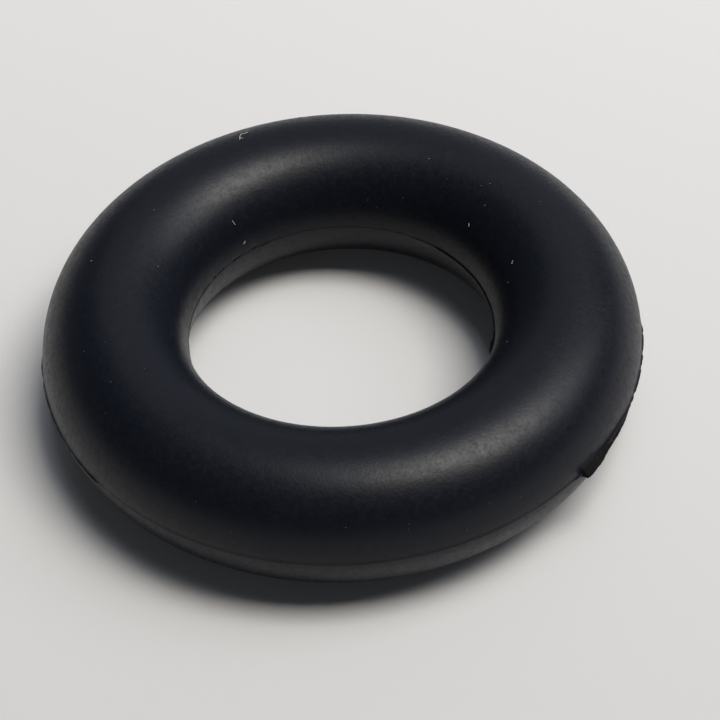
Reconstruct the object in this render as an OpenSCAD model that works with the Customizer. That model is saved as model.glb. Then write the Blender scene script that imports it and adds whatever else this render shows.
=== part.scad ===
// Moulded rubber o-ring, lying flat, with the flash that its two-plate mould leaves at the parting line.
// The origin is the ring's centre, on the parting plane, and +Z is the ring's axis.

/* [Ring] */
// Diameter of the hole, across the rubber itself
inner_diameter = 7.52; // [5:0.01:60]
// Diameter of the round section
section_diameter = 3.53; // [1.6:0.01:7]

/* [Flash] */
// How far the flash fin stands out from the outside of the ring
fin_height = 0.05; // [0.02:0.01:0.1]
// How far the parting ridge stands into the hole
ridge_height = 0.03; // [0.01:0.01:0.1]
// Thickness of the flash at its free edge
flash_edge = 0.05; // [0.02:0.01:0.12]
// Angle of each flank of the flash, from the parting plane
flash_flank = 25; // [0:1:40]

/* [Torn spur] */
// Where the spur's torn end is, as an angle round the ring
spur_angle = -44; // [-180:1:180]
// Length of the spur, along the outside of the ring
spur_length = 2.6; // [1:0.1:5]
// How far the spur stands out from the ring at its torn end
spur_width = 0.24; // [0.16:0.01:0.4]
// Thickness of the spur where it leaves the ring
spur_root = 0.3; // [0.15:0.01:0.4]
// Thickness of the spur at its furthest edge
spur_edge = 0.12; // [0.06:0.01:0.14]
// How far the corner of the torn end leans past its foot
spur_hook = 0.05; // [0:0.01:0.2]
// Number of teeth that the tear left along the spur's edge
spur_teeth = 9; // [3:1:15]
// Depth of the deepest gap between teeth
tooth_depth = 0.04; // [0.01:0.01:0.05]

/* [Chips] */
// Number of chips in the outer fin, all round the ring
fin_chips = 17; // [0:1:40]
// Number of chips in the rough stretch of the parting ridge
ridge_chips = 6; // [0:1:12]
// Where the rough stretch starts, as an angle round the hole
rough_angle = 122; // [-180:1:180]
// Length of the rough stretch, along the hole
rough_length = 1.7; // [0.5:0.1:3]
// Width across the largest chip's curve
chip_width = 0.2; // [0.12:0.01:0.4]

/* [Hidden] */

section_r = section_diameter / 2;
hole_r = inner_diameter / 2;
centre_r = hole_r + section_r;
outer_r = centre_r + section_r;
fin_r = outer_r + fin_height;
ridge_r = hole_r - ridge_height;

// the flash is rooted this far under the rubber's surface, which makes it one body with the ring
root_depth = 0.1;
// share of the flash's height that the deepest chip takes away
chip_bite = 0.75;
// least share of the largest size that a chip or a tooth gap has
least_share = 0.4;
// how fast the spur narrows towards its tail
spur_taper = 1.3;
tear_seed = 7;
chip_seed = 21;
ring_facets = 144;
section_facets = 48;
chip_facets = 24;

// angle that an arc of this length covers on a circle of radius r
function arc_angle(length, r) = length / r * 180 / PI;

function polar(r, angle) = [r * cos(angle), r * sin(angle)];

// how far the spur stands out from the ring, from its torn end (t = 0) to its tail (t = 1)
function spur_reach(t) = fin_height + (spur_width - fin_height) * pow(1 - t, spur_taper);

// the round rubber section, turned about the ring's axis
module ring_body() {
    rotate_extrude($fn = ring_facets)
        translate([centre_r, 0])
            circle(section_r, $fn = section_facets);
}

// flash on the parting plane: a blunt wedge from under the rubber's surface to its free edge
// outward is 1 on the outside of the ring, and -1 in its hole
module flash_band(surface_r, height, outward) {
    edge = flash_edge / 2;
    foot = edge + (height + root_depth) * tan(flash_flank);
    rotate_extrude($fn = ring_facets)
        polygon([
            [surface_r - outward * root_depth, -foot],
            [surface_r + outward * height, -edge],
            [surface_r + outward * height, edge],
            [surface_r - outward * root_depth, foot],
        ]);
}

// scallops bitten out of the free edge of a flash band, unevenly spaced over the given angle
module chips(surface_r, height, outward, count, start, spread) {
    places = rands(0, 1, max(count, 1), chip_seed);
    shares = rands(least_share, 1, max(count, 1), chip_seed + 1);
    for (i = [0:1:count - 1]) {
        chip_r = chip_width / 2 * shares[i];
        bite = height * chip_bite * shares[i];
        rotate(start + spread * (i + places[i]) / count)
            translate([surface_r + outward * (height - bite + chip_r), 0])
                cylinder(h = 2 * (flash_edge + height + root_depth), r = chip_r, center = true, $fn = chip_facets);
    }
}

// fin along the outside, chipped all the way round
module outer_fin() {
    difference() {
        flash_band(outer_r, fin_height, 1);
        chips(outer_r, fin_height, 1, fin_chips, 0, 360);
    }
}

// low ridge in the hole, whose crown is the wall that grips a shaft first, with one rough stretch
module parting_ridge() {
    difference() {
        flash_band(hole_r, ridge_height, -1);
        chips(hole_r, ridge_height, -1, ridge_chips, rough_angle, arc_angle(rough_length, hole_r));
    }
}

// the spur seen from above: a ragged sliver, widest at its torn end, that runs out into the fin
module spur_outline() {
    steps = 2 * spur_teeth;
    span = arc_angle(spur_length, outer_r);
    gaps = rands(least_share, 1, steps + 1, tear_seed);
    inner_r = outer_r - root_depth;
    ragged = [
        for (i = [1:steps])
            let (t = i / steps, gap = i % 2 == 1 ? tooth_depth * gaps[i] * (1 - t) : 0)
                polar(outer_r + spur_reach(t) - gap, spur_angle + span * t)
    ];
    polygon(concat(
        [polar(inner_r, spur_angle)],
        [polar(outer_r + spur_width, spur_angle - arc_angle(spur_hook, outer_r))],
        ragged,
        [polar(inner_r, spur_angle + span)]
    ));
}

// torn spur of thick flash: its outline cut from a wedge that thins outwards
module torn_spur() {
    wedge_r = outer_r + spur_width + tooth_depth;
    intersection() {
        linear_extrude(2 * spur_root, center = true)
            spur_outline();
        rotate_extrude($fn = ring_facets)
            polygon([
                [centre_r, -spur_root / 2],
                [outer_r, -spur_root / 2],
                [wedge_r, -spur_edge / 2],
                [wedge_r, spur_edge / 2],
                [outer_r, spur_root / 2],
                [centre_r, spur_root / 2],
            ]);
    }
}

// one shot of rubber: the ring and every bit of flash on it
module o_ring() {
    color([0.03, 0.03, 0.035])
        union() {
            ring_body();
            outer_fin();
            parting_ridge();
            torn_spur();
        }
}

o_ring();
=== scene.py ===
import math

import bpy
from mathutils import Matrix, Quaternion, Vector


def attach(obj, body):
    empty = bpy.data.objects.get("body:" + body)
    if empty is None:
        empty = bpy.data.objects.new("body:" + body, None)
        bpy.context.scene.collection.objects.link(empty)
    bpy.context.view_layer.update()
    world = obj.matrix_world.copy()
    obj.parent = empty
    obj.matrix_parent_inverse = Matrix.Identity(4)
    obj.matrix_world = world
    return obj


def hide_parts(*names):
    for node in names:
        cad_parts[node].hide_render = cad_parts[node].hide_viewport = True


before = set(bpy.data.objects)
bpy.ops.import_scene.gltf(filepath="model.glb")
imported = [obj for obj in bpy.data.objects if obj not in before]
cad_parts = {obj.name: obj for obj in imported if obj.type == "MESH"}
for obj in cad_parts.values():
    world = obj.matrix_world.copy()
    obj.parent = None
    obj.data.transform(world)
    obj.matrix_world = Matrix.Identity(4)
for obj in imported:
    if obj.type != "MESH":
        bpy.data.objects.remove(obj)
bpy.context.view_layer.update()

mm = 0.001
tau = 2 * math.pi
noiseSpread = (0.3, 0.7)    # a noise node hardly ever gives less or more


def hexToLinear(code):
    # sRGB hex to the linear values that Blender's sockets take
    values = [int(code[i:i + 2], 16) / 255 for i in (1, 3, 5)]
    linear = [v / 12.92 if v <= 0.04045 else ((v + 0.055) / 1.055) ** 2.4 for v in values]
    return (*linear, 1.0)


def addNode(tree, kind, *values, sockets=None, **settings):
    # values fill the sockets in order and None skips one; a node stands for its first output
    node = tree.nodes.new(kind)
    for name, value in settings.items():
        setattr(node, name, value)
    for key, value in [*enumerate(values), *(sockets or {}).items()]:
        if isinstance(value, bpy.types.Node):
            value = value.outputs[0]
        if isinstance(value, bpy.types.NodeSocket):
            tree.links.new(value, node.inputs[key])
        elif value is not None:
            node.inputs[key].default_value = value
    return node


def newMaterial(name):
    material = bpy.data.materials.new(name)
    material.use_nodes = True
    material.node_tree.nodes.clear()
    return material, material.node_tree


def newTree(name, inputs):
    # inputs: socket name to (socket type, value); the tree gives one geometry
    tree = bpy.data.node_groups.new(name, "GeometryNodeTree")
    tree.interface.new_socket("Geometry", in_out="OUTPUT", socket_type="NodeSocketGeometry")
    tree.interface.new_socket("Geometry", in_out="INPUT", socket_type="NodeSocketGeometry")
    for label, (kind, value) in inputs.items():
        socket = tree.interface.new_socket(label, in_out="INPUT", socket_type=kind)
        if kind not in ("NodeSocketMaterial", "NodeSocketObject"):
            socket.default_value = value
    return tree, tree.nodes.new("NodeGroupInput").outputs


def meshFromTree(name, tree, inputs, start=None):
    # runs the tree on a start mesh and keeps what it gives as a plain mesh object
    holder = bpy.data.objects.new(name + "_start", start or bpy.data.meshes.new(name + "_start"))
    bpy.context.scene.collection.objects.link(holder)
    modifier = holder.modifiers.new("nodes", "NODES")
    modifier.node_group = tree
    for item in tree.interface.items_tree:
        if item.in_out == "INPUT" and item.name in inputs:
            modifier[item.identifier] = inputs[item.name][1]
    depsgraph = bpy.context.evaluated_depsgraph_get()
    mesh = bpy.data.meshes.new_from_object(holder.evaluated_get(depsgraph), depsgraph=depsgraph)
    mesh.name = name
    if mesh.materials and mesh.materials[0] is None:
        mesh.materials.pop(index=0)     # the empty slot that a grid or ball node brings
    holder.modifiers.remove(modifier)
    bpy.data.objects.remove(holder)
    piece = bpy.data.objects.new(name, mesh)
    bpy.context.scene.collection.objects.link(piece)
    return piece


def wayTo(azimuth, elevation):
    # unit vector at so many degrees round +Z from +X, and so many up
    a, e = math.radians(azimuth), math.radians(elevation)
    return Vector((math.cos(e) * math.cos(a), math.cos(e) * math.sin(a), math.sin(e)))


def onRing(azimuth, section, lift=0.0):
    # a point on the rubber and its outward normal, from the angle round the ring and round its section
    normal = wayTo(azimuth, section)
    centre = wayTo(azimuth, 0.0) * ring["ringRadius"]
    return centre + normal * (ring["tubeRadius"] + lift), normal


# a value that ends in Cover gives the noise levels between which a pattern goes from none to full
rubber = {
    "black": "#0c0f19",         # carbon black in nitrile, faintly blue
    "bloom": "#11141c",         # where wax has come up to the skin and dried a little paler
    "roughness": (0.355, 0.46),
    "ior": 1.52,
    "specularLevel": 0.158,     # low, because the moulded skin is microscopically pitted
    "waxFilm": 0.13,            # a thin smoother film of wax over the pits
    "waxRoughness": 0.31,
    "grain": 0.07 * mm,         # spark-eroded mould finish, drawn coarser than real so that it shows
    "grainHeight": 0.005 * mm,
    "mottle": 0.17 * mm,        # the finish is a little closer and opener in places
    "pit": 0.09 * mm,           # sparse duller pits, where a bubble of air stayed against the mould
    "pitCover": (0.55, 0.72),
    "pitDulling": 0.1,          # roughness added there
    "orangePeel": 0.3 * mm,     # slow waviness of the moulded skin
    "peelHeight": 0.005 * mm,
    "blotch": 1.6 * mm,         # size of the bloom's patches
}


def makeRubber():
    # compression-moulded black nitrile rubber: a satin skin that copies the mould's fine eroded finish,
    # so lights spread into soft grey patches with a faint mottle
    material, tree = newMaterial("moulded nitrile rubber")
    place = addNode(tree, "ShaderNodeTexCoord").outputs["Object"]
    blotch = addNode(tree, "ShaderNodeTexNoise", place,
                     sockets={"Scale": 1 / rubber["blotch"], "Detail": 3.0})
    grain = addNode(tree, "ShaderNodeTexNoise", place,
                    sockets={"Scale": 1 / rubber["grain"], "Detail": 2.0, "Roughness": 0.6})
    mottle = addNode(tree, "ShaderNodeTexNoise", place,
                     sockets={"Scale": 1 / rubber["mottle"], "Detail": 1.0})
    bubbles = addNode(tree, "ShaderNodeTexNoise", place,
                      sockets={"Scale": 1 / rubber["pit"], "Detail": 0.0})
    pit = addNode(tree, "ShaderNodeMapRange", bubbles, *rubber["pitCover"], 0.0, rubber["pitDulling"],
                  interpolation_type="SMOOTHSTEP")
    peel = addNode(tree, "ShaderNodeTexNoise", place,
                   sockets={"Scale": 1 / rubber["orangePeel"], "Detail": 2.0})
    colour = addNode(tree, "ShaderNodeMix", blotch, data_type="RGBA",
                     sockets={6: hexToLinear(rubber["black"]), 7: hexToLinear(rubber["bloom"])})
    even = addNode(tree, "ShaderNodeMapRange", mottle, *noiseSpread, *rubber["roughness"])
    satin = addNode(tree, "ShaderNodeMath", even, pit, operation="ADD")
    torn = addNode(tree, "ShaderNodeAttribute", attribute_name="torn")
    frayed = addNode(tree, "ShaderNodeMapRange", torn.outputs["Fac"], 0.0, ring["tornFrom"], 0.0, 1.0)
    dulled = addNode(tree, "ShaderNodeMix", frayed, data_type="FLOAT",
                     sockets={2: satin, 3: tear["roughness"]})
    peelBump = addNode(tree, "ShaderNodeBump",
                       sockets={"Distance": rubber["peelHeight"], "Height": peel.outputs[0]})
    grainBump = addNode(tree, "ShaderNodeBump",
                        sockets={"Distance": rubber["grainHeight"], "Height": grain.outputs[0],
                                 "Normal": peelBump.outputs[0]})
    shader = addNode(tree, "ShaderNodeBsdfPrincipled",
                     sockets={"Base Color": colour.outputs[2], "Roughness": dulled, "IOR": rubber["ior"],
                              "Specular IOR Level": rubber["specularLevel"],
                              "Coat Weight": rubber["waxFilm"], "Coat Roughness": rubber["waxRoughness"],
                              "Normal": grainBump.outputs[0]})
    addNode(tree, "ShaderNodeOutputMaterial", shader)
    return material


tear = {
    "deep": "#0b0a0d",
    "crumb": "#453f3d",          # loose brownish crumbs in the tear
    "crumbSize": 0.05 * mm,
    "crumbCover": (0.62, 0.78),
    "roughness": 0.85,
    "specularLevel": 0.15,
    "pitHeight": 0.02 * mm,
}


def makeTear():
    # the rubber's inside where flash was torn off: no skin, so it is coal black and hardly shines
    material, tree = newMaterial("torn nitrile rubber")
    place = addNode(tree, "ShaderNodeTexCoord").outputs["Object"]
    crumb = addNode(tree, "ShaderNodeTexNoise", place,
                    sockets={"Scale": 1 / tear["crumbSize"], "Detail": 2.0, "Roughness": 0.6})
    cover = addNode(tree, "ShaderNodeMapRange", crumb, *tear["crumbCover"], 0.0, 1.0)
    colour = addNode(tree, "ShaderNodeMix", cover, data_type="RGBA",
                     sockets={6: hexToLinear(tear["deep"]), 7: hexToLinear(tear["crumb"])})
    pits = addNode(tree, "ShaderNodeBump",
                   sockets={"Distance": tear["pitHeight"], "Height": crumb.outputs[0]})
    shader = addNode(tree, "ShaderNodeBsdfPrincipled",
                     sockets={"Base Color": colour.outputs[2], "Roughness": tear["roughness"],
                              "IOR": rubber["ior"], "Specular IOR Level": tear["specularLevel"],
                              "Normal": pits.outputs[0]})
    addNode(tree, "ShaderNodeOutputMaterial", shader)
    return material


dust = {
    "specks": ("#3c3b3a", "#7d7b78"),   # darker and paler part
    "lint": ("#8d8c8a", "#c9c6c0"),
    "roughness": 0.85,
    "clump": 0.02 * mm,
}


def makeDust(kind):
    # household dust and cotton lint: matt and slightly uneven, so it reads as soft dots on the black
    material, tree = newMaterial("cotton dust, " + kind)
    place = addNode(tree, "ShaderNodeTexCoord").outputs["Object"]
    clump = addNode(tree, "ShaderNodeTexNoise", place,
                    sockets={"Scale": 1 / dust["clump"], "Detail": 1.0})
    dark, pale = dust[kind]
    colour = addNode(tree, "ShaderNodeMix", clump, data_type="RGBA",
                     sockets={6: hexToLinear(dark), 7: hexToLinear(pale)})
    shader = addNode(tree, "ShaderNodeBsdfPrincipled",
                     sockets={"Base Color": colour.outputs[2], "Roughness": dust["roughness"]})
    addNode(tree, "ShaderNodeOutputMaterial", shader)
    return material


ring = {
    "ringRadius": 5.525 * mm,       # centre line of the section
    "tubeRadius": 1.765 * mm,
    "stepsRound": 1040,
    "stepsSection": 96,
    "crowdRound": 0.75,             # how far points crowd towards the spur and the chipped stretch
    "crowdSection": 0.92,           # and towards the two parting lines
    "crowdAngle": -34.0,
    "weld": 0.0001 * mm,            # closes the edges where the two ends meet
    "unevenness": 0.004 * mm,       # the skin lies lower by up to this, changing over lengths of sway
    "sway": 2.6 * mm,
    "seed": 4.0,

    # the mould halves don't quite match, so the lower stands a hair proud: in the hole, and outside
    "ledgeHeight": (0.03 * mm, 0.022 * mm),
    "ledgeFoot": (0.04 * mm, 0.09 * mm),    # its crisp upper side
    "ledgeCrisp": (0.45, 0.8),              # share of the height in that side
    "ledgeSwell": (0.32 * mm, 0.5 * mm),    # the rest fades slowly
    "ledgeWave": 0.9 * mm,                  # it is higher and lower over this length
    "ledgeCover": (0.35, 0.6),
    "ledgeLeast": 0.75,
    # its low stretches: centre and half width in degrees, and share of the height left
    "ledgeLows": [(15.0, 17.0, 0.3), (161.0, 20.0, 0.3)],
    "holeLedgeLows": [(135.0, 15.0, 0.35), (88.0, 30.0, 0.6)],

    "finHeight": 0.034 * mm,
    "finEdge": 0.008 * mm,          # half thickness at the lip and at the foot
    "finFoot": 0.03 * mm,
    "finWave": 1.3 * mm,            # it is higher and lower over this length
    "finCover": (0.36, 0.56),
    "finLeast": 0.55,
    "nickWave": 0.2 * mm,           # small nicks in its lip
    "nickCover": (0.5, 0.64),
    "nickLeft": 0.5,
    # where it is low, nicked or gone, given as the ledge's low stretches are
    "finLows": [
        (13.0, 18.0, 0.0),
        (-21.5, 1.0, 0.4),
        (-94.0, 50.0, 0.0),
        (-172.3, 0.7, 0.6),
        (162.0, 22.5, 0.0),
        (97.0, 7.0, 0.15),
    ],
    "lowRamp": 3.0,                 # degrees over which a stretch fades out
    "lowCore": 0.3,                 # least share of it that stays full

    # thin flash left in the hole: centre, half width and height
    "holeFlash": [(16.0, 33.0, 0.024 * mm), (-11.0, 7.0, 0.012 * mm), (-13.6, 5.6, 0.044 * mm)],
    "holeFlashEdge": 0.012 * mm,    # half thickness at the lip and at the foot
    "holeFlashFoot": 0.04 * mm,

    "chippedFrom": 120.0,
    "chippedTo": 150.0,
    "chippedCore": 0.7,             # share of that stretch with full chips
    "chipDepth": 0.021 * mm,
    "chipFoot": 0.06 * mm,
    "chipCore": 0.3,                # share of the foot at full depth
    "chipRise": 0.07 * mm,          # the chips lie just above the line
    "chipWave": 0.16 * mm,
    "chipCover": (0.5, 0.6),

    "spurAngle": -44.0,
    "spurLength": 2.6 * mm,
    "spurReach": 0.2 * mm,
    "spurEdge": 0.026 * mm,         # half thickness at the lip and at the foot
    "spurFoot": 0.15 * mm,
    "spurThick": (0.6, 0.95),       # shares of its reach between which it gets that thick
    # share of its length from the torn end, and share of its reach there
    "spurOutline": [
        (0.0, 0.0),
        (0.025, 0.96),
        (0.2, 0.93),
        (0.36, 0.57),
        (0.57, 0.43),
        (0.77, 0.33),
        (1.0, 0.0),
    ],
    "toothDepth": 0.05 * mm,        # its edge is toothed this deep, over this length
    "toothWave": 0.2 * mm,
    "hook": 0.03 * mm,              # how far the torn end leans back
    "hookEnd": (0.05, 0.16),        # shares of the length over which the lean fades
    "tornReach": (0.3, 0.8),        # shares of the reach between which skin turns to tear
    "tornFrom": 0.08,               # share of the spur's rise where skin gives way to the tear
    "tearGrain": 0.035 * mm,        # the torn face is rough by this much, over this length
    "tearWave": 0.11 * mm,
}


def makeRing():
    sizes = {
        "Ring Radius": "ringRadius", "Tube Radius": "tubeRadius", "Unevenness": "unevenness",
        "Fin Height": "finHeight", "Fin Edge": "finEdge", "Fin Foot": "finFoot",
        "Chip Depth": "chipDepth", "Chip Foot": "chipFoot", "Spur Length": "spurLength",
        "Spur Reach": "spurReach", "Spur Edge": "spurEdge", "Spur Foot": "spurFoot",
        "Tooth Depth": "toothDepth", "Hook": "hook", "Tear Grain": "tearGrain", "Seed": "seed",
    }
    inputs = {label: ("NodeSocketFloat", ring[key]) for label, key in sizes.items()}
    inputs["Steps Round"] = ("NodeSocketInt", ring["stepsRound"])
    inputs["Steps Section"] = ("NodeSocketInt", ring["stepsSection"])
    inputs["Rubber"] = ("NodeSocketMaterial", rubberSkin)
    inputs["Tear"] = ("NodeSocketMaterial", tornRubber)
    tree, given = newTree("moulded ring", inputs)

    # a flat grid whose two directions become the angle round the ring and the angle round the section
    columns = addNode(tree, "ShaderNodeMath", given["Steps Round"], 1, operation="ADD")
    rows = addNode(tree, "ShaderNodeMath", given["Steps Section"], 1, operation="ADD")
    grid = addNode(tree, "GeometryNodeMeshGrid", 1.0, 1.0, columns, rows)
    flat = addNode(tree, "ShaderNodeSeparateXYZ", addNode(tree, "GeometryNodeInputPosition"))
    turn = addNode(tree, "ShaderNodeMath", flat.outputs["X"], tau, tau / 2, operation="MULTIPLY_ADD")
    roll = addNode(tree, "ShaderNodeMath", flat.outputs["Y"], tau, tau / 2, operation="MULTIPLY_ADD")
    focus = 2 * math.radians(ring["crowdAngle"])
    turnTwice = addNode(tree, "ShaderNodeMath", turn, 2.0, -focus, operation="MULTIPLY_ADD")
    turnWave = addNode(tree, "ShaderNodeMath", turnTwice, operation="SINE")
    around = addNode(tree, "ShaderNodeMath", turnWave, -ring["crowdRound"] / 2, turn,
                     operation="MULTIPLY_ADD")
    rollTwice = addNode(tree, "ShaderNodeMath", roll, 2.0, operation="MULTIPLY")
    rollWave = addNode(tree, "ShaderNodeMath", rollTwice, operation="SINE")
    section = addNode(tree, "ShaderNodeMath", rollWave, -ring["crowdSection"] / 2, roll,
                      operation="MULTIPLY_ADD")

    # the plain torus
    cosAround = addNode(tree, "ShaderNodeMath", around, operation="COSINE")
    sinAround = addNode(tree, "ShaderNodeMath", around, operation="SINE")
    cosSection = addNode(tree, "ShaderNodeMath", section, operation="COSINE")
    sinSection = addNode(tree, "ShaderNodeMath", section, operation="SINE")
    outerRadius = addNode(tree, "ShaderNodeMath", given["Ring Radius"], given["Tube Radius"],
                          operation="ADD")
    plainRadius = addNode(tree, "ShaderNodeMath", cosSection, given["Tube Radius"], given["Ring Radius"],
                          operation="MULTIPLY_ADD")
    plainHeight = addNode(tree, "ShaderNodeMath", sinSection, given["Tube Radius"], operation="MULTIPLY")
    offLine = addNode(tree, "ShaderNodeMath", plainHeight, operation="ABSOLUTE")
    outside = addNode(tree, "ShaderNodeMath", cosSection, 0.0, operation="GREATER_THAN")
    inside = addNode(tree, "ShaderNodeMath", 1.0, outside, operation="SUBTRACT")
    direction = addNode(tree, "ShaderNodeCombineXYZ", cosAround, sinAround)
    rimPoint = addNode(tree, "ShaderNodeVectorMath", direction, operation="SCALE",
                       sockets={"Scale": outerRadius})
    plainRim = addNode(tree, "ShaderNodeVectorMath", direction, operation="SCALE",
                       sockets={"Scale": plainRadius})
    plainUp = addNode(tree, "ShaderNodeCombineXYZ", None, None, plainHeight)
    plainPoint = addNode(tree, "ShaderNodeVectorMath", plainRim, plainUp, operation="ADD")
    sway = addNode(tree, "ShaderNodeTexNoise", plainPoint, given["Seed"], noise_dimensions="4D",
                   sockets={"Scale": 1 / ring["sway"], "Detail": 1.0})
    sink = addNode(tree, "ShaderNodeMath", sway, given["Unevenness"], operation="MULTIPLY")

    def stretch(centre, halfWidth, within, beyond):
        # one value along a stretch of the ring and another beyond it
        away = addNode(tree, "ShaderNodeMath", around, math.radians(centre - 180), operation="SUBTRACT")
        near = addNode(tree, "ShaderNodeMath", away, tau, 0.0, operation="WRAP")
        far = addNode(tree, "ShaderNodeMath", near, math.pi, operation="SUBTRACT")
        off = addNode(tree, "ShaderNodeMath", far, operation="ABSOLUTE")
        full = max(halfWidth - ring["lowRamp"], ring["lowCore"] * halfWidth)
        return addNode(tree, "ShaderNodeMapRange", off, math.radians(full), math.radians(halfWidth),
                       within, beyond, interpolation_type="SMOOTHSTEP")

    def lowered(height, lows):
        for centre, halfWidth, left in lows:
            keep = stretch(centre, halfWidth, left, 1.0)
            height = addNode(tree, "ShaderNodeMath", height, keep, operation="MULTIPLY")
        return height

    # thin fin on the outer parting line, higher and lower along the rim, nicked and missing in places
    finSeed = addNode(tree, "ShaderNodeMath", given["Seed"], 3.0, operation="ADD")
    finWave = addNode(tree, "ShaderNodeTexNoise", rimPoint, finSeed, noise_dimensions="4D",
                      sockets={"Scale": 1 / ring["finWave"], "Detail": 3.0, "Roughness": 0.6})
    finShare = addNode(tree, "ShaderNodeMapRange", finWave, *ring["finCover"], ring["finLeast"], 1.0,
                       interpolation_type="SMOOTHSTEP")
    nickWave = addNode(tree, "ShaderNodeTexNoise", rimPoint, given["Seed"], noise_dimensions="4D",
                       sockets={"Scale": 1 / ring["nickWave"], "Detail": 2.0})
    nick = addNode(tree, "ShaderNodeMapRange", nickWave, *ring["nickCover"], 1.0, ring["nickLeft"],
                   interpolation_type="SMOOTHSTEP")
    fin = addNode(tree, "ShaderNodeMath", finShare, nick, operation="MULTIPLY")
    fin = lowered(fin, ring["finLows"])
    finOut = addNode(tree, "ShaderNodeMath", fin, given["Fin Height"], operation="MULTIPLY")

    # torn spur: a strip of flash left on, square at its hooked end and running out to nothing
    spurStart = math.radians(ring["spurAngle"] % 360)
    past = addNode(tree, "ShaderNodeMath", around, spurStart, operation="SUBTRACT")
    along = addNode(tree, "ShaderNodeMath", past, outerRadius, operation="MULTIPLY")
    share = addNode(tree, "ShaderNodeMath", along, given["Spur Length"], operation="DIVIDE")
    outline = addNode(tree, "ShaderNodeFloatCurve", 1.0, share)
    curve = outline.mapping.curves[0]
    curve.points[0].location, curve.points[1].location = ring["spurOutline"][0], ring["spurOutline"][-1]
    for x, y in ring["spurOutline"][1:-1]:
        curve.points.new(x, y)
    for point in curve.points:
        point.handle_type = "VECTOR"
    outline.mapping.update()
    toothSeed = addNode(tree, "ShaderNodeMath", given["Seed"], 7.0, operation="ADD")
    toothWave = addNode(tree, "ShaderNodeTexNoise", rimPoint, toothSeed, noise_dimensions="4D",
                        sockets={"Scale": 1 / ring["toothWave"], "Detail": 3.0, "Roughness": 0.6})
    tooth = addNode(tree, "ShaderNodeMapRange", toothWave, *noiseSpread, -0.5, 0.5)
    toothOut = addNode(tree, "ShaderNodeMath", tooth, given["Tooth Depth"], operation="MULTIPLY")
    toothFade = addNode(tree, "ShaderNodeMath", toothOut, outline, operation="MULTIPLY")
    spurOut = addNode(tree, "ShaderNodeMath", outline, given["Spur Reach"], toothFade,
                      operation="MULTIPLY_ADD")
    outward = addNode(tree, "ShaderNodeMath", finOut, spurOut, operation="MAXIMUM")
    foot = addNode(tree, "ShaderNodeMapRange", outline, *ring["spurThick"],
                   given["Fin Foot"], given["Spur Foot"])
    lip = addNode(tree, "ShaderNodeMapRange", outline, *ring["spurThick"],
                  given["Fin Edge"], given["Spur Edge"])
    profile = addNode(tree, "ShaderNodeMapRange", offLine, lip, foot, 1.0, 0.0,
                      interpolation_type="SMOOTHSTEP")
    finProfile = addNode(tree, "ShaderNodeMath", profile, outside, operation="MULTIPLY")

    # parting ledge on both lines, crisp above and fading slowly, and chipped at the back of the hole
    above = addNode(tree, "ShaderNodeMath", plainHeight, 0.0, operation="GREATER_THAN")
    crispLevel = addNode(tree, "ShaderNodeMapRange", outside, 0.0, 1.0, *ring["ledgeCrisp"])
    crispShare = addNode(tree, "ShaderNodeMath", above, crispLevel, operation="MULTIPLY")
    swellLength = addNode(tree, "ShaderNodeMapRange", outside, 0.0, 1.0, *ring["ledgeSwell"])
    footLength = addNode(tree, "ShaderNodeMapRange", outside, 0.0, 1.0, *ring["ledgeFoot"])
    swell = addNode(tree, "ShaderNodeMapRange", offLine, 0.0, swellLength, 1.0, 0.0)
    crisp = addNode(tree, "ShaderNodeMapRange", offLine, 0.0, footLength, 1.0, 0.0,
                    interpolation_type="SMOOTHSTEP")
    ledge = addNode(tree, "ShaderNodeMix", crispShare, data_type="FLOAT", sockets={2: swell, 3: crisp})
    ledgeWave = addNode(tree, "ShaderNodeTexNoise", rimPoint, finSeed, noise_dimensions="4D",
                        sockets={"Scale": 1 / ring["ledgeWave"], "Detail": 2.0})
    ledgeShare = addNode(tree, "ShaderNodeMapRange", ledgeWave, *ring["ledgeCover"],
                         ring["ledgeLeast"], 1.0)
    inHole, onRim = ring["ledgeHeight"]
    rimHeight = addNode(tree, "ShaderNodeMath", outside, onRim, operation="MULTIPLY")
    rimHeight = lowered(rimHeight, ring["ledgeLows"])
    holeHeight = addNode(tree, "ShaderNodeMath", inside, inHole, operation="MULTIPLY")
    holeHeight = lowered(holeHeight, ring["holeLedgeLows"])
    ledgeHeight = addNode(tree, "ShaderNodeMath", holeHeight, rimHeight, operation="ADD")
    ledgeSide = addNode(tree, "ShaderNodeMapRange", outside, 0.0, 1.0, -1.0, 1.0)
    ledgeSize = addNode(tree, "ShaderNodeMath", ledgeShare, ledgeHeight, operation="MULTIPLY")
    ledgeSigned = addNode(tree, "ShaderNodeMath", ledgeSize, ledgeSide, operation="MULTIPLY")
    chipWave = addNode(tree, "ShaderNodeTexNoise", plainPoint, toothSeed, noise_dimensions="4D",
                       sockets={"Scale": 1 / ring["chipWave"], "Detail": 2.0, "Roughness": 0.6})
    chip = addNode(tree, "ShaderNodeMapRange", chipWave, *ring["chipCover"], 0.0, 1.0,
                   interpolation_type="SMOOTHSTEP")
    middle = math.radians((ring["chippedFrom"] + ring["chippedTo"]) / 2)
    halfSpan = math.radians((ring["chippedTo"] - ring["chippedFrom"]) / 2)
    fromMiddle = addNode(tree, "ShaderNodeMath", around, middle, operation="SUBTRACT")
    farMiddle = addNode(tree, "ShaderNodeMath", fromMiddle, operation="ABSOLUTE")
    chipped = addNode(tree, "ShaderNodeMapRange", farMiddle, ring["chippedCore"] * halfSpan, halfSpan,
                      1.0, 0.0, interpolation_type="SMOOTHSTEP")
    offChips = addNode(tree, "ShaderNodeMath", plainHeight, ring["chipRise"], operation="SUBTRACT")
    chipAway = addNode(tree, "ShaderNodeMath", offChips, operation="ABSOLUTE")
    chipFull = addNode(tree, "ShaderNodeMath", given["Chip Foot"], ring["chipCore"],
                       operation="MULTIPLY")
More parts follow.
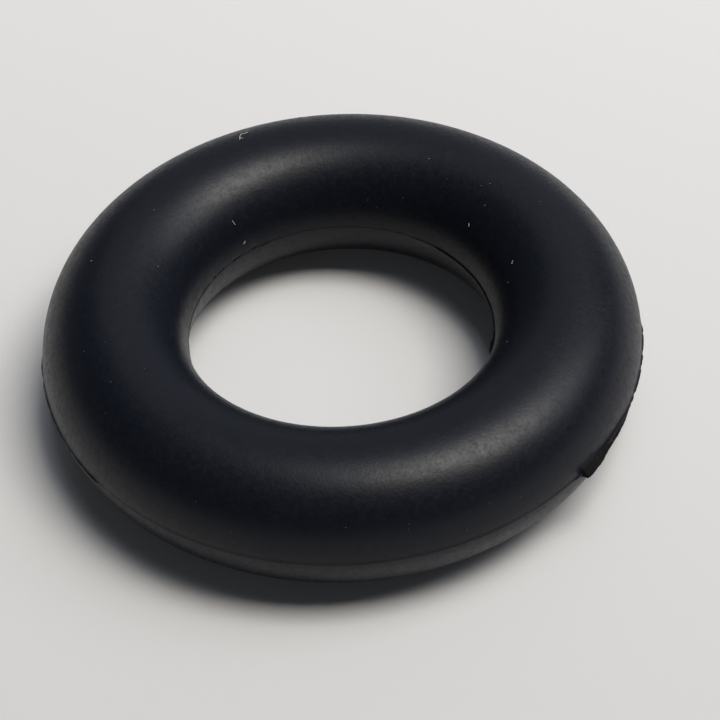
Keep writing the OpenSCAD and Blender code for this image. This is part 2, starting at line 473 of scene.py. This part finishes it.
    chipNear = addNode(tree, "ShaderNodeMapRange", chipAway, chipFull, given["Chip Foot"], 1.0, 0.0,
                       interpolation_type="SMOOTHSTEP")
    chipPlace = addNode(tree, "ShaderNodeMath", chipNear, inside, operation="MULTIPLY")
    chipZone = addNode(tree, "ShaderNodeMath", chipPlace, chipped, operation="MULTIPLY")
    chipShape = addNode(tree, "ShaderNodeMath", chipZone, chip, operation="MULTIPLY")

    # thin flash left at the right of the hole, thickest where it ends
    flash = addNode(tree, "ShaderNodeValue")
    flash.outputs[0].default_value = 0.0
    for centre, halfWidth, reach in ring["holeFlash"]:
        left = stretch(centre, halfWidth, reach, 0.0)
        flash = addNode(tree, "ShaderNodeMath", flash, left, operation="ADD")
    flashProfile = addNode(tree, "ShaderNodeMapRange", offLine,
                           ring["holeFlashEdge"], ring["holeFlashFoot"], 1.0, 0.0,
                           interpolation_type="SMOOTHSTEP")
    flashIn = addNode(tree, "ShaderNodeMath", flashProfile, inside, operation="MULTIPLY")
    flashPart = addNode(tree, "ShaderNodeMath", flashIn, flash, operation="MULTIPLY")

    # everything together: radius, height and a small backward lean of the spur's hooked end
    finPart = addNode(tree, "ShaderNodeMath", outward, finProfile, operation="MULTIPLY")
    ledgePart = addNode(tree, "ShaderNodeMath", ledge, ledgeSigned, operation="MULTIPLY")
    bodyRadius = addNode(tree, "ShaderNodeMath", sink, cosSection, operation="MULTIPLY")
    sunkRadius = addNode(tree, "ShaderNodeMath", plainRadius, bodyRadius, operation="SUBTRACT")
    finRadius = addNode(tree, "ShaderNodeMath", sunkRadius, finPart, operation="ADD")
    ledgeRadius = addNode(tree, "ShaderNodeMath", finRadius, ledgePart, operation="ADD")
    chipRadius = addNode(tree, "ShaderNodeMath", chipShape, given["Chip Depth"], ledgeRadius,
                         operation="MULTIPLY_ADD")
    radius = addNode(tree, "ShaderNodeMath", chipRadius, flashPart, operation="SUBTRACT")
    bodyHeight = addNode(tree, "ShaderNodeMath", sink, sinSection, operation="MULTIPLY")
    height = addNode(tree, "ShaderNodeMath", plainHeight, bodyHeight, operation="SUBTRACT")
    hookEnd = addNode(tree, "ShaderNodeMapRange", share, *ring["hookEnd"], 1.0, 0.0,
                      interpolation_type="SMOOTHSTEP")
    hookTip = addNode(tree, "ShaderNodeMath", outline, finProfile, operation="MULTIPLY")
    hookPart = addNode(tree, "ShaderNodeMath", hookEnd, hookTip, operation="MULTIPLY")
    hookArc = addNode(tree, "ShaderNodeMath", hookPart, given["Hook"], operation="MULTIPLY")
    hookTurn = addNode(tree, "ShaderNodeMath", hookArc, outerRadius, operation="DIVIDE")
    angle = addNode(tree, "ShaderNodeMath", around, hookTurn, operation="SUBTRACT")
    cosAngle = addNode(tree, "ShaderNodeMath", angle, operation="COSINE")
    sinAngle = addNode(tree, "ShaderNodeMath", angle, operation="SINE")
    x = addNode(tree, "ShaderNodeMath", cosAngle, radius, operation="MULTIPLY")
    y = addNode(tree, "ShaderNodeMath", sinAngle, radius, operation="MULTIPLY")
    smooth = addNode(tree, "ShaderNodeCombineXYZ", x, y, height)
    tornShare = addNode(tree, "ShaderNodeMapRange", outline, *ring["tornReach"], 0.0, 1.0)
    torn = addNode(tree, "ShaderNodeMath", tornShare, finProfile, operation="MULTIPLY")
    tearWave = addNode(tree, "ShaderNodeTexNoise", smooth, toothSeed, noise_dimensions="4D",
                       sockets={"Scale": 1 / ring["tearWave"], "Detail": 2.0, "Roughness": 0.6})
    tearWay = addNode(tree, "ShaderNodeVectorMath", tearWave.outputs["Color"], (0.5, 0.5, 0.5),
                      operation="SUBTRACT")
    tearDepth = addNode(tree, "ShaderNodeMath", torn, given["Tear Grain"], operation="MULTIPLY")
    ragged = addNode(tree, "ShaderNodeVectorMath", tearWay, operation="SCALE",
                     sockets={"Scale": tearDepth})
    final = addNode(tree, "ShaderNodeVectorMath", smooth, ragged, operation="ADD")

    # the tear is noted while the points still lie in the flat grid
    noted = addNode(tree, "GeometryNodeStoreNamedAttribute", grid, domain="POINT", data_type="FLOAT",
                    sockets={"Name": "torn", "Value": torn})
    placed = addNode(tree, "GeometryNodeSetPosition", noted, sockets={"Position": final})
    closed = addNode(tree, "GeometryNodeMergeByDistance", placed, sockets={"Distance": ring["weld"]})
    shaded = addNode(tree, "GeometryNodeSetShadeSmooth", closed)
    real = addNode(tree, "GeometryNodeRealizeInstances", shaded)
    skinned = addNode(tree, "GeometryNodeSetMaterial", real, sockets={"Material": given["Rubber"]})
    stored = addNode(tree, "GeometryNodeInputNamedAttribute", "torn", data_type="FLOAT")
    isTorn = addNode(tree, "ShaderNodeMath", stored, ring["tornFrom"], operation="GREATER_THAN")
    finished = addNode(tree, "GeometryNodeSetMaterial", skinned, isTorn,
                       sockets={"Material": given["Tear"]})
    addNode(tree, "NodeGroupOutput", finished)
    return meshFromTree("o_ring_body", tree, inputs)


rubberSkin = makeRubber()
tornRubber = makeTear()
speckDust = makeDust("specks")
lintDust = makeDust("lint")
print("materials made")

ringBody = makeRing()
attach(ringBody, "root")
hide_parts("o_ring")
print("ring made:", len(ringBody.data.vertices), "points,", len(ringBody.data.polygons), "faces")


specks = {
    # the larger ones: angle round the ring, angle round its section, radius in micrometres
    "placed": [
        (111, 129, 20), (168, 71, 19), (165, 125, 17), (60, 109, 19), (39, 106, 19), (35, 123, 19),
        (4, 144, 22), (-27, 133, 20), (65, 61, 18), (138, 54, 16), (-164, 65, 12), (-152, 72, 12),
        (53, 75, 13), (27, 68, 13), (147, 97, 14),
    ],
    "density": 0.55 / (mm * mm),    # finer specks scattered over the ring, mostly where dust can settle
    "settling": (-0.1, 0.7),        # how far up the rubber faces where the least and the most settle
    "shelteredShare": 0.2,          # share of that density left where the rubber faces down
    "smallest": 0.005 * mm,
    "largest": 0.011 * mm,
    "flatness": 0.6,
    "longShare": (0.8, 1.6),
    "wideShare": (0.6, 1.0),
    "lump": 0.018 * mm,             # they are uneven lumps, dented this far apart and this deep
    "lumpDepth": 0.008 * mm,
    "seed": 11,
    "longSeed": 5,
    "wideSeed": 6,
}


def makeSpecks():
    points = bpy.data.meshes.new("speck_points")
    spots = [onRing(azimuth, section) for azimuth, section, _ in specks["placed"]]
    points.from_pydata([place for place, _ in spots], [], [])
    points.attributes.new("lie", "FLOAT_VECTOR", "POINT").data.foreach_set(
        "vector", [number for _, normal in spots for number in normal])
    points.attributes.new("size", "FLOAT", "POINT").data.foreach_set(
        "value", [radius * 0.001 * mm for _, _, radius in specks["placed"]])
    placed = bpy.data.objects.new("speck_points", points)
    bpy.context.scene.collection.objects.link(placed)

    inputs = {
        "Placed": ("NodeSocketObject", placed),
        "Density": ("NodeSocketFloat", specks["density"]),
        "Smallest": ("NodeSocketFloat", specks["smallest"]),
        "Largest": ("NodeSocketFloat", specks["largest"]),
        "Flatness": ("NodeSocketFloat", specks["flatness"]),
        "Seed": ("NodeSocketInt", specks["seed"]),
        "Dust": ("NodeSocketMaterial", speckDust),
    }
    tree, given = newTree("dust specks", inputs)
    facing = addNode(tree, "ShaderNodeSeparateXYZ", addNode(tree, "GeometryNodeInputNormal"))
    settled = addNode(tree, "ShaderNodeMapRange", facing.outputs["Z"], *specks["settling"],
                      specks["shelteredShare"], 1.0)
    density = addNode(tree, "ShaderNodeMath", settled, given["Density"], operation="MULTIPLY")
    scatter = addNode(tree, "GeometryNodeDistributePointsOnFaces", given["Geometry"],
                      sockets={"Density": density, "Seed": given["Seed"]})
    size = addNode(tree, "FunctionNodeRandomValue", data_type="FLOAT",
                   sockets={2: given["Smallest"], 3: given["Largest"], "Seed": given["Seed"]})
    lying = addNode(tree, "GeometryNodeStoreNamedAttribute", scatter, domain="POINT",
                    data_type="FLOAT_VECTOR",
                    sockets={"Name": "lie", "Value": scatter.outputs["Normal"]})
    sized = addNode(tree, "GeometryNodeStoreNamedAttribute", lying, domain="POINT", data_type="FLOAT",
                    sockets={"Name": "size", "Value": size.outputs[1]})
    known = addNode(tree, "GeometryNodeObjectInfo", given["Placed"])
    both = addNode(tree, "GeometryNodeJoinGeometry", sized)
    tree.links.new(known.outputs["Geometry"], both.inputs[0])
    lie = addNode(tree, "GeometryNodeInputNamedAttribute", "lie", data_type="FLOAT_VECTOR")
    big = addNode(tree, "GeometryNodeInputNamedAttribute", "size", data_type="FLOAT")
    upright = addNode(tree, "FunctionNodeAlignRotationToVector", axis="Z",
                      sockets={"Vector": lie.outputs[0]})
    least, most = specks["longShare"]
    long = addNode(tree, "FunctionNodeRandomValue", data_type="FLOAT",
                   sockets={2: least, 3: most, "Seed": specks["longSeed"]})
    least, most = specks["wideShare"]
    wide = addNode(tree, "FunctionNodeRandomValue", data_type="FLOAT",
                   sockets={2: least, 3: most, "Seed": specks["wideSeed"]})
    shape = addNode(tree, "ShaderNodeCombineXYZ", long.outputs[1], wide.outputs[1], given["Flatness"])
    scale = addNode(tree, "ShaderNodeVectorMath", shape, operation="SCALE",
                    sockets={"Scale": big.outputs[0]})
    grainBall = addNode(tree, "GeometryNodeMeshIcoSphere", 1.0, 2)
    grains = addNode(tree, "GeometryNodeInstanceOnPoints", both,
                     sockets={"Instance": grainBall, "Rotation": upright, "Scale": scale})
    real = addNode(tree, "GeometryNodeRealizeInstances", grains)
    lump = addNode(tree, "ShaderNodeTexNoise", addNode(tree, "GeometryNodeInputPosition"),
                   sockets={"Scale": 1 / specks["lump"], "Detail": 1.0})
    push = addNode(tree, "ShaderNodeVectorMath", lump.outputs["Color"], (0.5, 0.5, 0.5),
                   operation="SUBTRACT")
    dent = addNode(tree, "ShaderNodeVectorMath", push, operation="SCALE",
                   sockets={"Scale": specks["lumpDepth"]})
    lumpy = addNode(tree, "GeometryNodeSetPosition", real, sockets={"Offset": dent})
    finished = addNode(tree, "GeometryNodeSetMaterial", lumpy, sockets={"Material": given["Dust"]})
    addNode(tree, "NodeGroupOutput", finished)
    piece = meshFromTree("dust_specks", tree, inputs, start=ringBody.data.copy())
    bpy.data.objects.remove(placed)
    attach(piece, "root")
    return piece


lint = {
    # each fibre: angle round the ring, angle round its section, height off the rubber in micrometres
    "fibres": {
        "curl": [(113.2, 79.5, 10), (112.6, 75.5, 30), (111.9, 72.6, 40), (111.3, 72.9, 34),
                 (110.7, 72.4, 26), (110.1, 70.0, 12)],
        "curlBranch": [(113.0, 78.4, 24), (112.7, 78.6, 34), (112.2, 78.9, 12)],
        "atBackOfHole": [(129.2, 145.6, 6), (129.1, 147.6, 14), (128.9, 149.8, 6)],
        "onWallOfHole": [(128.2, 168.9, 6), (127.7, 168.2, 14), (127.1, 167.3, 6)],
        "atRight": [(36.2, 142.4, 0), (35.6, 144.6, 2)],
        "shortOne": [(9.5, 134.5, 6), (10.2, 132.5, 12)],
    },
    "thickness": 0.009 * mm,        # radius of a cotton fibre clump
    "thickWave": 0.04 * mm,         # it is thicker and thinner over this length
    "thickShare": (0.6, 1.3),
    "sides": 8,
    "step": 0.01 * mm,
}


def makeLint():
    places, edges = [], []
    for spots in lint["fibres"].values():
        first = len(places)
        places += [onRing(azimuth, section, lift * 0.001 * mm)[0] for azimuth, section, lift in spots]
        edges += [(first + i, first + i + 1) for i in range(len(spots) - 1)]
    start = bpy.data.meshes.new("lint_lines")
    start.from_pydata(places, edges, [])

    inputs = {
        "Thickness": ("NodeSocketFloat", lint["thickness"]),
        "Sides": ("NodeSocketInt", lint["sides"]),
        "Step": ("NodeSocketFloat", lint["step"]),
        "Dust": ("NodeSocketMaterial", lintDust),
    }
    tree, given = newTree("lint fibres", inputs)
    line = addNode(tree, "GeometryNodeMeshToCurve", given["Geometry"])
    bent = addNode(tree, "GeometryNodeCurveSplineType", line, spline_type="CATMULL_ROM")
    even = addNode(tree, "GeometryNodeResampleCurve", bent, mode="LENGTH",
                   sockets={"Length": given["Step"]})
    thick = addNode(tree, "ShaderNodeTexNoise", addNode(tree, "GeometryNodeInputPosition"),
                    sockets={"Scale": 1 / lint["thickWave"], "Detail": 1.0})
    swell = addNode(tree, "ShaderNodeMapRange", thick, *noiseSpread, *lint["thickShare"])
    radius = addNode(tree, "ShaderNodeMath", swell, given["Thickness"], operation="MULTIPLY")
    circle = addNode(tree, "GeometryNodeCurvePrimitiveCircle", given["Sides"], sockets={"Radius": 1.0})
    tube = addNode(tree, "GeometryNodeCurveToMesh", even, circle,
                   sockets={"Scale": radius, "Fill Caps": True})
    real = addNode(tree, "GeometryNodeRealizeInstances", tube)
    finished = addNode(tree, "GeometryNodeSetMaterial", real, sockets={"Material": given["Dust"]})
    addNode(tree, "NodeGroupOutput", finished)
    piece = meshFromTree("lint_fibres", tree, inputs, start=start)
    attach(piece, "root")
    return piece


speckPiece = makeSpecks()
lintPiece = makeLint()
print("dust made:", len(speckPiece.data.polygons), "and", len(lintPiece.data.polygons), "faces")


studio = {
    "paper": "#d2d2d2",
    "paperSize": 1.2,
    "paperRoughness": 0.9,
    "paperSpecular": 0.2,
    "paperTooth": 0.12 * mm,
    "toothHeight": 0.002 * mm,
    "paperPaintedGlow": 0.01,          # painted light: a faint glow of the paper itself, all over, lifting its deepest shadow
    "paperReach": 18 * mm,      # painted light falloff: over this far the paper's colour gets paler to the right and to the back, by the two shares in the next entry
    "paperPaintedFalloff": (0.03, 0.10),
    "lamps": {                  # azimuth, elevation, width, height, distance, watts, colour
        "window": (-4.8, 67.2, 0.19, 0.272, 0.5, 1.8, "#fff8ec"),
        "sheerCurtain": (12.1, 62.4, 0.299, 0.576, 0.5, 1.46, "#f1f6ff"),
        "farWall": (81.0, 44.2, 0.46, 0.75, 0.5, 0.4, "#eef3ff"),
    },
    "roomDark": "#303338",
    "roomPale": "#909296",
    "horizonBand": 0.176,       # sine of the elevation where the pale horizon has faded out
}


def makeFloor():
    # plain uncoated paper: matt and faintly toothed, with painted light: its colour is paler to the
    # right and the back, and it glows faintly all over, lifting the shadow
    material, tree = newMaterial("uncoated paper")
    place = addNode(tree, "ShaderNodeTexCoord").outputs["Object"]
    axes = addNode(tree, "ShaderNodeSeparateXYZ", place)
    # painted light falloff: the paper's colour is made paler to the right and the back, standing in for
    # the light's falloff across the paper
    right, back = studio["paperPaintedFalloff"]
    reach = studio["paperReach"]
    paintedRightFalloff = addNode(tree, "ShaderNodeMapRange", axes.outputs["X"], -reach, reach, -right, right)
    paintedBackFalloff = addNode(tree, "ShaderNodeMapRange", axes.outputs["Y"], -reach, reach, -back, back)
    rise = addNode(tree, "ShaderNodeMath", paintedRightFalloff, paintedBackFalloff, operation="ADD")
    level = addNode(tree, "ShaderNodeMath", rise, 1.0, operation="ADD")
    colour = addNode(tree, "ShaderNodeVectorMath", hexToLinear(studio["paper"])[:3], operation="SCALE",
                     sockets={"Scale": level})
    tooth = addNode(tree, "ShaderNodeTexNoise", place,
                    sockets={"Scale": 1 / studio["paperTooth"], "Detail": 2.0})
    bump = addNode(tree, "ShaderNodeBump",
                   sockets={"Distance": studio["toothHeight"], "Height": tooth.outputs[0]})
    # painted light: the emission makes the whole paper glow faintly, lifting its deepest shadow
    shader = addNode(tree, "ShaderNodeBsdfPrincipled",
                     sockets={"Base Color": colour, "Roughness": studio["paperRoughness"],
                              "Specular IOR Level": studio["paperSpecular"],
                              "Emission Color": (1.0, 1.0, 1.0, 1.0),
                              "Emission Strength": studio["paperPaintedGlow"], "Normal": bump.outputs[0]})
    addNode(tree, "ShaderNodeOutputMaterial", shader)
    half = studio["paperSize"] / 2
    down = -ring["tubeRadius"]
    mesh = bpy.data.meshes.new("paper")
    corners = [(-half, -half, down), (half, -half, down), (half, half, down), (-half, half, down)]
    mesh.from_pydata(corners, [], [(0, 1, 2, 3)])
    mesh.materials.append(material)
    floor = bpy.data.objects.new("paper", mesh)
    bpy.context.scene.collection.objects.link(floor)


def makeLight():
    for name, (azimuth, elevation, width, height, distance, watts, colour) in studio["lamps"].items():
        data = bpy.data.lights.new(name, "AREA")
        data.shape = "RECTANGLE"
        data.size, data.size_y = width, height
        data.energy = watts
        data.color = hexToLinear(colour)[:3]
        lamp = bpy.data.objects.new(name, data)
        bpy.context.scene.collection.objects.link(lamp)
        way = wayTo(azimuth, elevation)
        lamp.location = way * distance
        lamp.rotation_euler = way.to_track_quat("Z", "Y").to_euler()
        lamp.visible_camera = False

    # a dim room that pales towards the horizon
    world = bpy.data.worlds.new("room")
    world.use_nodes = True
    tree = world.node_tree
    tree.nodes.clear()
    axes = addNode(tree, "ShaderNodeSeparateXYZ", addNode(tree, "ShaderNodeTexCoord"))
    pale = addNode(tree, "ShaderNodeMapRange", axes.outputs["Z"], 0.0, studio["horizonBand"], 1.0, 0.0,
                   interpolation_type="SMOOTHSTEP")
    tone = addNode(tree, "ShaderNodeMix", pale, data_type="RGBA",
                   sockets={6: hexToLinear(studio["roomDark"]), 7: hexToLinear(studio["roomPale"])})
    glow = addNode(tree, "ShaderNodeBackground", tone.outputs[2], 1.0)
    addNode(tree, "ShaderNodeOutputWorld", glow)
    bpy.context.scene.world = world


camera = {
    "aim": (0.403 * mm, -1.015 * mm, 0.0),  # the point in the middle of its view
    "distance": 52.22 * mm,
    "azimuth": -90.64,
    "elevation": 46.0,
    "roll": -3.03,
    "lens": 108.2,
    "sensor": 36.0,
}


def makeCamera():
    data = bpy.data.cameras.new("camera")
    data.lens = camera["lens"]
    data.sensor_width = camera["sensor"]
    data.clip_start = 1 * mm
    data.clip_end = 10.0
    view = bpy.data.objects.new("camera", data)
    bpy.context.scene.collection.objects.link(view)
    back = wayTo(camera["azimuth"], camera["elevation"])
    view.location = Vector(camera["aim"]) + back * camera["distance"]
    view.rotation_mode = "QUATERNION"
    spin = Quaternion((0.0, 0.0, 1.0), math.radians(camera["roll"]))
    view.rotation_quaternion = (-back).to_track_quat("-Z", "Y") @ spin
    bpy.context.scene.camera = view


makeFloor()
makeLight()
makeCamera()
bpy.context.scene.view_settings.view_transform = "Standard"
print("studio made")
